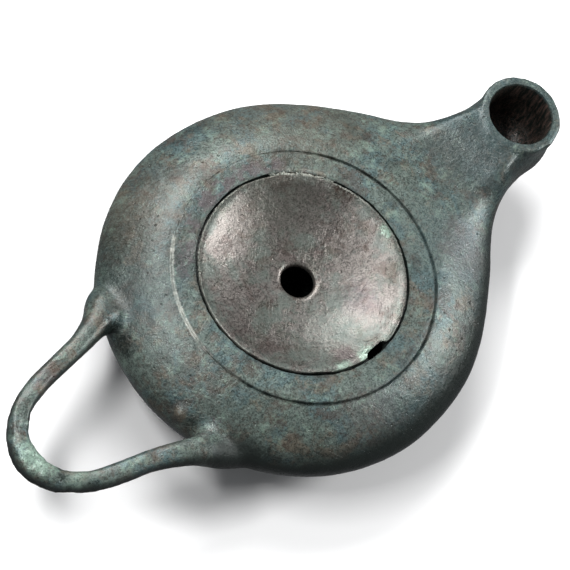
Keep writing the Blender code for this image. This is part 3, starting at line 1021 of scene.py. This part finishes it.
def disc_marks(f):
    """Single stains and a dent of the disc, listed in the same way."""
    return (
        (f.umber, (-0.3, -0.5, 21.0), 4.6, 0.55),
        (f.disc_dark, (8.0, 15.0, 24.0), 11.0, 0.75),
        (f.green, (-3.0, -14.0, 23.0), 11.0, 0.50),
        (f.umber, (10.0, 18.5, 24.0), 5.0, 0.45),
        (f.umber, (19.0, 8.2, 24.7), 3.0, 1.0),
        (f.soot_and_shade, (19.4, 8.5, 24.7), 1.9, 0.8),
        (f.umber, (-4.4, -18.6, 23.8), 3.6, 0.6),
        (f.soot_and_shade, (16.5, -8.3, 24.2), 0.8, 0.9),
        (f.plum, (-4.4, -18.6, 23.5), 2.8, 0.6),
        (f.plum, (7.0, -11.0, 23.0), 5.0, 0.6),
        (f.verdigris, (20.4, -3.4, 24.5), 2.0, 0.7),
        (f.verdigris, (-6.8, -20.6, 24.7), 2.2, 0.6),
        (f.verdigris, (-1.0, -21.0, 24.8), 2.4, 0.7),
    )


def bronze_patina(f):
    """Mottled grey-green patina of the casting, with painted shade on its lower sides, under the handle,
    on the neck and in the gap.
    """
    material, tree, shader, coords = new_material("weathered_patina_and_shade")
    place = add_node(tree, "ShaderNodeSeparateXYZ", {0: coords}).outputs
    x, z = place["X"], place["Z"]
    mottled = placed(tree, "Patina Mottling", Coords=coords, Main=f.green, Cool=f.teal,
                     Warm=f.olive, Area=11.0, Speckle=0.9, Contrast=0.60)
    colour = mottled["Colour"]
    # Specks, stains, clouds and pale areas: tint, strength, noise and the range it rises over
    for tint, strength, *settings in (
            (f.umber, 0.45, 0.7, 8.0, 0.75, 0.0, 0.54, 0.64),
            (f.umber, 0.60, 0.17, 9.0, 0.74, 0.4, 0.50, 0.60),
            (f.soot_and_shade, 0.45, 0.11, 9.0, 0.72, 0.5, 0.52, 0.62),
            (f.verdigris, 0.45, 0.24, 9.0, 0.80, 0.0, 0.51, 0.66)):
        mask = patches(tree, coords, *settings)
        colour = laid_over(tree, colour, tint, mask, strength)
    groove, cut = (DISC_MIDDLE.x, DISC_MIDDLE.y - GROOVE_SHIFT / MM, 0.0), GROOVE_RADIUS / MM
    # Old solder, the groove's dark length (grime in the cut with painted shade along it), its pale
    # lengths, and crust by the gap: tint, strength and ring
    for tint, strength, *settings in (
            (f.plum, 0.75, DISC_MIDDLE, 23.4, 2.2, 2.6, 104.0, 48.0),
            (f.soot_and_shade, 0.95, groove, cut, 0.60, 0.6, -60.0, 125.0),
            (f.chalk, 1.00, groove, cut, 0.55, 0.45, 153.0, 28.0),
            (f.chalk, 0.60, groove, cut, 0.40, 0.9, 188.0, 18.0),
            (f.plum, 0.5, groove, cut + 0.1, 0.9, 1.8, 178.0, 14.0),
            (f.chalk, 0.60, DISC_MIDDLE, GAP_RADIUS, 0.30, 1.4, 50.0, 16.0)):
        mask = ring_mask(tree, coords, *settings)
        colour = laid_over(tree, colour, tint, mask, strength)
    colour = add_spots(tree, coords, colour, body_marks(f))
    scratches = placed(tree, "Wear Scratches", Coords=coords, Turn=0.9, Length=3.5,
                       Width=0.22)["Mask"]
    colour = laid_over(tree, colour, f.chalk, scratches, 0.20)
    grain = placed(tree, "Cast Grain", Coords=coords, Grain=0.42, Pit_Spacing=1.7, Pit_Depth=0.7)
    colour = laid_over(tree, colour, f.soot_and_shade, grain["Pits"], 0.6)
    # Painted shade: the lower sides darken to black green from a height that rises towards -Y
    lean = vector_calc(tree, "DOT_PRODUCT", coords, SHADE_LEAN, "Value")
    # Painted shade on the lower flanks of the handle's rod and in the hollow under its root, made rougher
    # there as well
    flank_shade = calc(tree, "MULTIPLY", ramp(tree, x, *FLANK_X, 1.0, 0.0),
                 ramp(tree, z, *FLANK_Z, 0.95, 0.0))
    root_shade = disc_mask(tree, coords, *ROOT_SHADE, 0.4)
    flank_shade = calc(tree, "MAXIMUM", flank_shade, calc(tree, "MULTIPLY", root_shade, 0.88))
    colour = mix(tree, flank_shade, colour, f.soot_and_shade)
    # Painted shade of the lower sides, by height less the lean
    level = calc(tree, "SUBTRACT", z, lean)
    colour = mix(tree, ramp(tree, level, *SIDES_Z, 0.98, 0.0), colour, f.soot_and_shade)
    inside = disc_mask(tree, coords, *NOZZLE_HOLE, 0.06)
    inside = calc(tree, "MULTIPLY", inside, ramp(tree, z, *NOZZLE_Z, 1.0, 0.0))
    lined = add_node(tree, "ShaderNodeMapping",
                     {"Vector": coords, "Scale": (2.2, 2.2, 0.25)}).outputs[0]
    streaks = ramp(tree, noise_at(tree, lined, 1.0, 5.0, 0.65), 0.42, 0.70)
    bare_wall = mix(tree, 0.25, f.disc_warm, f.rust)
    colour = mix(tree, inside, colour, mix(tree, streaks, f.soot_and_shade, bare_wall))
    # Painted shade: the gap round the disc and the ledge under it are filled with black green
    gap = disc_mask(tree, coords, DISC_MIDDLE, GAP_RADIUS, 0.02)
    gap = calc(tree, "MULTIPLY", gap, ramp(tree, z, *GAP_Z, 1.0, 0.0))
    colour = mix(tree, gap, colour, f.soot_and_shade)
    tree.links.new(colour, shader.inputs["Base Color"])
    shader.inputs["Metallic"].default_value = 0.25
    rough = ramp(tree, mottled["Tone"], 0.0, 1.0, 0.22, 0.42)
    rough = calc(tree, "ADD", rough, calc(tree, "MULTIPLY", flank_shade, 0.25))
    tree.links.new(rough, shader.inputs["Roughness"])
    add_bump(tree, shader, grain, scratches, 0.18, 0.16 * MM)
    return material


def disc_bronze(f):
    """Warm satin metal of the disc under thin green and brown corrosion, with painted shade down its
    filling hole.
    """
    material, tree, shader, coords = new_material("worn_disc_bronze")
    mottled = placed(tree, "Patina Mottling", Coords=coords, Main=f.disc, Cool=f.disc_dark,
                     Warm=f.disc_warm, Area=7.0, Speckle=0.6, Contrast=0.55)
    colour = mottled["Colour"]
    green = patches(tree, coords, 0.15, 9.0, 0.76, 0.0, 0.48, 0.60)
    colour = laid_over(tree, colour, f.green, green, 0.60)
    brown = patches(tree, coords, 0.24, 9.0, 0.74, 0.5, 0.52, 0.62)
    colour = laid_over(tree, colour, f.umber, brown, 0.50)
    rim = ring_mask(tree, coords, DISC_MIDDLE, 21.6, 2.6, 1.4)
    colour = laid_over(tree, colour, f.green, rim, 0.45)
    crust = ring_mask(tree, coords, DISC_MIDDLE, 21.5, 0.55, 0.7, 110.0, 90.0)
    colour = mix(tree, crust, colour, f.chalk)
    colour = add_spots(tree, coords, colour, disc_marks(f))
    # Painted shade: the drawn lip darkens to black green down into the filling hole
    mouth_shade = ring_mask(tree, coords, DISC_MIDDLE, 0.0, 5.0, 0.25)
    z = add_node(tree, "ShaderNodeSeparateXYZ", {0: coords}).outputs["Z"]
    deep = ramp(tree, z, *MOUTH_Z, 1.0, 0.0)
    colour = laid_over(tree, colour, f.soot_and_shade, mouth_shade, deep)
    tree.links.new(colour, shader.inputs["Base Color"])
    bare = ramp(tree, green, 0.0, 1.0, 0.7, 0.4)
    tree.links.new(bare, shader.inputs["Metallic"])
    tree.links.new(ramp(tree, mottled["Tone"], 0.0, 1.0, 0.22, 0.40), shader.inputs["Roughness"])
    grain = placed(tree, "Cast Grain", Coords=coords, Grain=0.40, Pit_Spacing=2.6, Pit_Depth=0.4)
    scratches = placed(tree, "Wear Scratches", Coords=coords, Turn=2.4, Length=3.0,
                       Width=0.2)["Mask"]
    add_bump(tree, shader, grain, scratches, 0.25, 0.12 * MM)
    return material


def crust_material(f):
    """Dull powdery corrosion of the crumbs."""
    material, tree, shader, coords = new_material("verdigris_crust")
    mottled = placed(tree, "Patina Mottling", Coords=coords, Main=f.chalk, Cool=f.green,
                     Warm=f.olive, Area=2.0, Speckle=0.5, Contrast=0.5)
    tree.links.new(mottled["Colour"], shader.inputs["Base Color"])
    shader.inputs["Roughness"].default_value = 0.8
    return material


def shared_material(name, maker, context):
    return bpy.data.materials.get(name) or maker(context.scene.lamp_finish)


def crumb_instances(tree, points, rotation, size, seed, flat):
    """Instances of a small rough stone, of random size, on points."""
    stone = add_node(tree, "GeometryNodeMeshIcoSphere", {"Radius": 1.0, "Subdivisions": 1})
    scale = add_node(tree, "FunctionNodeRandomValue", {2: 0.45, 3: 1.0, "Seed": seed},
                     data_type="FLOAT").outputs[1]
    scale = calc(tree, "MULTIPLY", scale, size)
    squashed = calc(tree, "MULTIPLY", scale, flat)
    size_xyz = add_node(tree, "ShaderNodeCombineXYZ", {0: scale, 1: scale, 2: squashed}).outputs[0]
    return add_node(tree, "GeometryNodeInstanceOnPoints",
                    {"Points": points, "Instance": stone.outputs["Mesh"], "Rotation": rotation,
                     "Scale": size_xyz}).outputs[0]


def close_tree(tree, geometry, material, put):
    """Ends a tree: instances made real, and the material set."""
    real = add_node(tree, "GeometryNodeRealizeInstances", {0: geometry}).outputs[0]
    done = add_node(tree, "GeometryNodeSetMaterial", {"Geometry": real, "Material": material})
    tree.links.new(done.outputs[0], put["Geometry"])


GEOMETRY, INTEGER, MATERIAL = "NodeSocketGeometry", "NodeSocketInt", "NodeSocketMaterial"


def grains_tree():
    """Flat corrosion grains in patches over a surface."""
    tree, given, put = new_tree(
        "Corrosion Grains", "GeometryNodeTree",
        (("Geometry", GEOMETRY, None), ("Density", FLOAT, 1.0), ("Patch", FLOAT, 0.01),
         ("Grain", FLOAT, 0.0003), ("Flatness", FLOAT, 0.5), ("Seed", INTEGER, 1),
         ("Material", MATERIAL, None)),
        (("Geometry", GEOMETRY),))
    place = add_node(tree, "GeometryNodeInputPosition").outputs[0]
    areas = noise_at(tree, place, calc(tree, "DIVIDE", 1.0, given["Patch"]), 3.0)
    density = calc(tree, "MULTIPLY", ramp(tree, areas, 0.48, 0.72), given["Density"])
    spread = add_node(tree, "GeometryNodeDistributePointsOnFaces",
                      {"Mesh": given["Geometry"], "Density": density, "Seed": given["Seed"]})
    grains = crumb_instances(tree, spread.outputs["Points"], spread.outputs["Rotation"],
                             given["Grain"], given["Seed"], given["Flatness"])
    close_tree(tree, grains, given["Material"], put)
    return tree


def crumbs_tree():
    """Crumbs strewn along a line."""
    tree, given, put = new_tree(
        "Crumbs Along A Line", "GeometryNodeTree",
        (("Geometry", GEOMETRY, None), ("Count", INTEGER, 100), ("Crumb", FLOAT, 0.0003),
         ("Spread", FLOAT, 0.0005), ("Seed", INTEGER, 1), ("Material", MATERIAL, None)),
        (("Geometry", GEOMETRY),))
    line = add_node(tree, "GeometryNodeMeshToCurve", {"Mesh": given["Geometry"]}).outputs[0]
    points = add_node(tree, "GeometryNodeCurveToPoints", {"Curve": line, "Count": given["Count"]})
    spread = given["Spread"]
    low = calc(tree, "MULTIPLY", spread, -1.0)
    offset = add_node(tree, "FunctionNodeRandomValue",
                      {0: add_node(tree, "ShaderNodeCombineXYZ", {0: low, 1: low, 2: low}).outputs[0],
                       1: add_node(tree, "ShaderNodeCombineXYZ", {0: spread, 1: spread}).outputs[0],
                       "Seed": given["Seed"]}, data_type="FLOAT_VECTOR").outputs[0]
    moved = add_node(tree, "GeometryNodeSetPosition",
                     {"Geometry": points.outputs["Points"], "Offset": offset}).outputs[0]
    turn = add_node(tree, "FunctionNodeRandomValue",
                    {0: (0.0, 0.0, 0.0), 1: (6.28, 6.28, 6.28), "Seed": given["Seed"]},
                    data_type="FLOAT_VECTOR").outputs[0]
    crumbs = crumb_instances(tree, moved, turn, given["Crumb"], given["Seed"], 0.7)
    close_tree(tree, crumbs, given["Material"], put)
    return tree


def grown(name, mesh, tree, values):
    """Object whose mesh is what a geometry tree makes of the given mesh."""
    obj = new_object(name, mesh)
    modifier = obj.modifiers.new(tree.name, "NODES")
    modifier.node_group = tree
    for item in tree.interface.items_tree:
        if item.in_out == "INPUT" and item.name in values:
            modifier[item.identifier] = values[item.name]
    result = evaluated(obj)
    obj.modifiers.clear()
    obj.data = result
    return obj


class LAMP_OT_cast_body(bpy.types.Operator):
    """Casts the hollow body with its nozzle, foot and handle"""
    bl_idname = "lamp.cast_body"
    bl_label = "Cast Body"

    def execute(self, context):
        s = context.scene.lamp_sizes
        skin = cast_skin(s)
        mesh = carve(skin.copy(), [body_cutters(s)], "DIFFERENCE")
        shade(mesh, 40.0)
        obj = new_object("cast_body", mesh)
        finish_piece(obj, "lamp_body",
                     shared_material("weathered_patina_and_shade", bronze_patina, context))
        skin.name = "cast_skin"
        return {"FINISHED"}


class LAMP_OT_dished_disc(bpy.types.Operator):
    """Turns the dished disc with its broken edge and filling hole"""
    bl_idname = "lamp.dished_disc"
    bl_label = "Dished Disc"

    def execute(self, context):
        mesh = disc_mesh(context.scene.lamp_sizes)
        shade(mesh, 50.0)
        obj = new_object("dished_disc", mesh)
        finish_piece(obj, "discus",
                     shared_material("worn_disc_bronze", disc_bronze, context))
        return {"FINISHED"}


class LAMP_OT_corrosion_grains(bpy.types.Operator):
    """Strews grains of corrosion in patches over the casting"""
    bl_idname = "lamp.corrosion_grains"
    bl_label = "Corrosion Grains"

    def execute(self, context):
        s = context.scene.lamp_sizes
        bm = bmesh.new()
        bm.from_mesh(bpy.data.meshes["cast_skin"])
        opening, wick = s.opening_radius + 0.9 * MM, s.wick_radius + 0.8 * MM
        bare = []
        for face in bm.faces:
            c = face.calc_center_median()
            in_opening = math.hypot(c.x - DISC_CENTRE.x, c.y - DISC_CENTRE.y) < opening
            in_nozzle = math.hypot(c.x - nozzle_x(s), c.y) < wick
            if (in_opening or in_nozzle) and c.z > 0.5 * s.crown_height or c.z < 2 * MM:
                bare.append(face)
        bmesh.ops.delete(bm, geom=bare, context="FACES")
        material = shared_material("weathered_patina_and_shade", bronze_patina, context)
        obj = grown("corrosion_grains", mesh_from(bm, "grains"), grains_tree(), {
            "Density": 4.0e5, "Patch": 9 * MM, "Grain": 0.13 * MM, "Flatness": 0.55, "Seed": 4,
            "Material": material})
        finish_piece(obj, None, material)
        return {"FINISHED"}


class LAMP_OT_edge_crust(bpy.types.Operator):
    """Lays pale crumbling crust over the gap and along the disc's edge"""
    bl_idname = "lamp.edge_crust"
    bl_label = "Edge Crust"

    def execute(self, context):
        s = context.scene.lamp_sizes
        material = shared_material("verdigris_crust", crust_material, context)
        # Name, slot, radius, height, arcs in degrees, crumbs on each arc, crumb, spread and seed
        pieces = (
            ("gap_crust", "bronze_patina", s.opening_radius - 0.1 * MM, s.crown_height - 0.3 * MM,
             ((33, 67),), 240, 0.36 * MM, 0.45 * MM, 9),
            ("disc_edge_crust", "disc_bronze", s.disc_radius - 0.5 * MM, s.disc_rim - 0.1 * MM,
             ((84, 152), (-24, 31)), 300, 0.15 * MM, 0.17 * MM, 5),
        )
        for name, slot, radius, height, arcs, count, crumb, spread, seed in pieces:
            bm = bmesh.new()
            for first, last in arcs:
                rays = [towards(degrees) for degrees in range(first, last + 1)]
                verts = [bm.verts.new((DISC_CENTRE.x + radius * x, DISC_CENTRE.y + radius * y,
                                       height)) for x, y, _ in rays]
                for pair in zip(verts, verts[1:]):
                    bm.edges.new(pair)
            obj = grown(name, mesh_from(bm, name), crumbs_tree(), {
                "Count": count, "Crumb": crumb, "Spread": spread, "Seed": seed,
                "Material": material})
            finish_piece(obj, None, material)
        return {"FINISHED"}


class LAMP_OT_stage(bpy.types.Operator):
    """Sets up the pale floor, the soft lights and the camera"""
    bl_idname = "lamp.stage"
    bl_label = "Stage"

    def execute(self, context):
        stage = context.scene.lamp_stage
        turn = (Matrix.Rotation(stage.azimuth, 4, "Z")
                @ Matrix.Rotation(math.radians(90.0) - stage.elevation, 4, "X")
                @ Matrix.Rotation(stage.roll, 4, "Z"))
        target = Vector(stage.target)
        camera = new_object("camera", bpy.data.cameras.new("camera"))
        camera.data.lens = stage.lens
        camera.data.sensor_width = 36.0
        camera.data.clip_start = 0.01
        camera.matrix_world = (Matrix.Translation(target) @ turn
                               @ Matrix.Translation((0, 0, stage.distance)))
        context.scene.camera = camera
        for name, direction, distance, length, width, power in SOFTBOXES:
            light = bpy.data.lights.new(name, "AREA")
            light.shape = "RECTANGLE"
            light.size = length
            light.size_y = width
            light.energy = power
            obj = new_object(name, light)
            away = (turn.to_3x3() @ Vector(direction)).normalized()
            obj.matrix_world = (Matrix.Translation(target + away * distance)
                                @ away.to_track_quat("Z", "Y").to_matrix().to_4x4())
        bm = bmesh.new()
        bmesh.ops.create_grid(bm, x_segments=1, y_segments=1, size=FLOOR_HALF)
        floor = new_object("floor", mesh_from(bm, "floor"))
        material = bpy.data.materials.new("floor")
        material.use_nodes = True
        shader = material.node_tree.nodes["Principled BSDF"]
        shader.inputs["Base Color"].default_value = (*stage.floor, 1.0)
        shader.inputs["Roughness"].default_value = 0.9
        floor.data.materials.append(material)
        floor.visible_diffuse = False
        floor.visible_glossy = False
        world = bpy.data.worlds.new("world")
        world.use_nodes = True
        background = world.node_tree.nodes["Background"]
        background.inputs["Color"].default_value = (0.95, 0.97, 1.0, 1.0)
        background.inputs["Strength"].default_value = WORLD_LIGHT
        context.scene.world = world
        context.scene.view_settings.view_transform = "Standard"
        return {"FINISHED"}


class LAMP_PT_panel(bpy.types.Panel):
    """Sidebar panel that lists the lamp's sizes, colours and pieces"""
    bl_idname = "LAMP_PT_panel"
    bl_label = "Oil Lamp"
    bl_space_type = "VIEW_3D"
    bl_region_type = "UI"
    bl_category = "Oil Lamp"

    def draw(self, context):
        for label in ("lamp_sizes", "lamp_finish", "lamp_stage"):
            values = getattr(context.scene, label)
            box = self.layout.box()
            for key in values.__annotations__:
                box.prop(values, key)
        for operator in OPERATORS:
            self.layout.operator(operator.bl_idname)


GROUPS = (("lamp_sizes", LampSizes), ("lamp_finish", LampFinish), ("lamp_stage", LampStage))
OPERATORS = (LAMP_OT_cast_body, LAMP_OT_dished_disc, LAMP_OT_corrosion_grains,
             LAMP_OT_edge_crust, LAMP_OT_stage)


def register():
    for label, values in GROUPS:
        bpy.utils.register_class(values)
        setattr(bpy.types.Scene, label, PointerProperty(type=values))
    for cls in OPERATORS + (LAMP_PT_panel,):
        bpy.utils.register_class(cls)


def unregister():
    for cls in (LAMP_PT_panel,) + OPERATORS[::-1]:
        bpy.utils.unregister_class(cls)
    for label, values in GROUPS[::-1]:
        delattr(bpy.types.Scene, label)
        bpy.utils.unregister_class(values)


def main():
    register()
    bpy.ops.lamp.cast_body()
    bpy.ops.lamp.dished_disc()
    bpy.ops.lamp.corrosion_grains()
    bpy.ops.lamp.edge_crust()
    bpy.ops.lamp.stage()


if __name__ == "__main__":
    main()
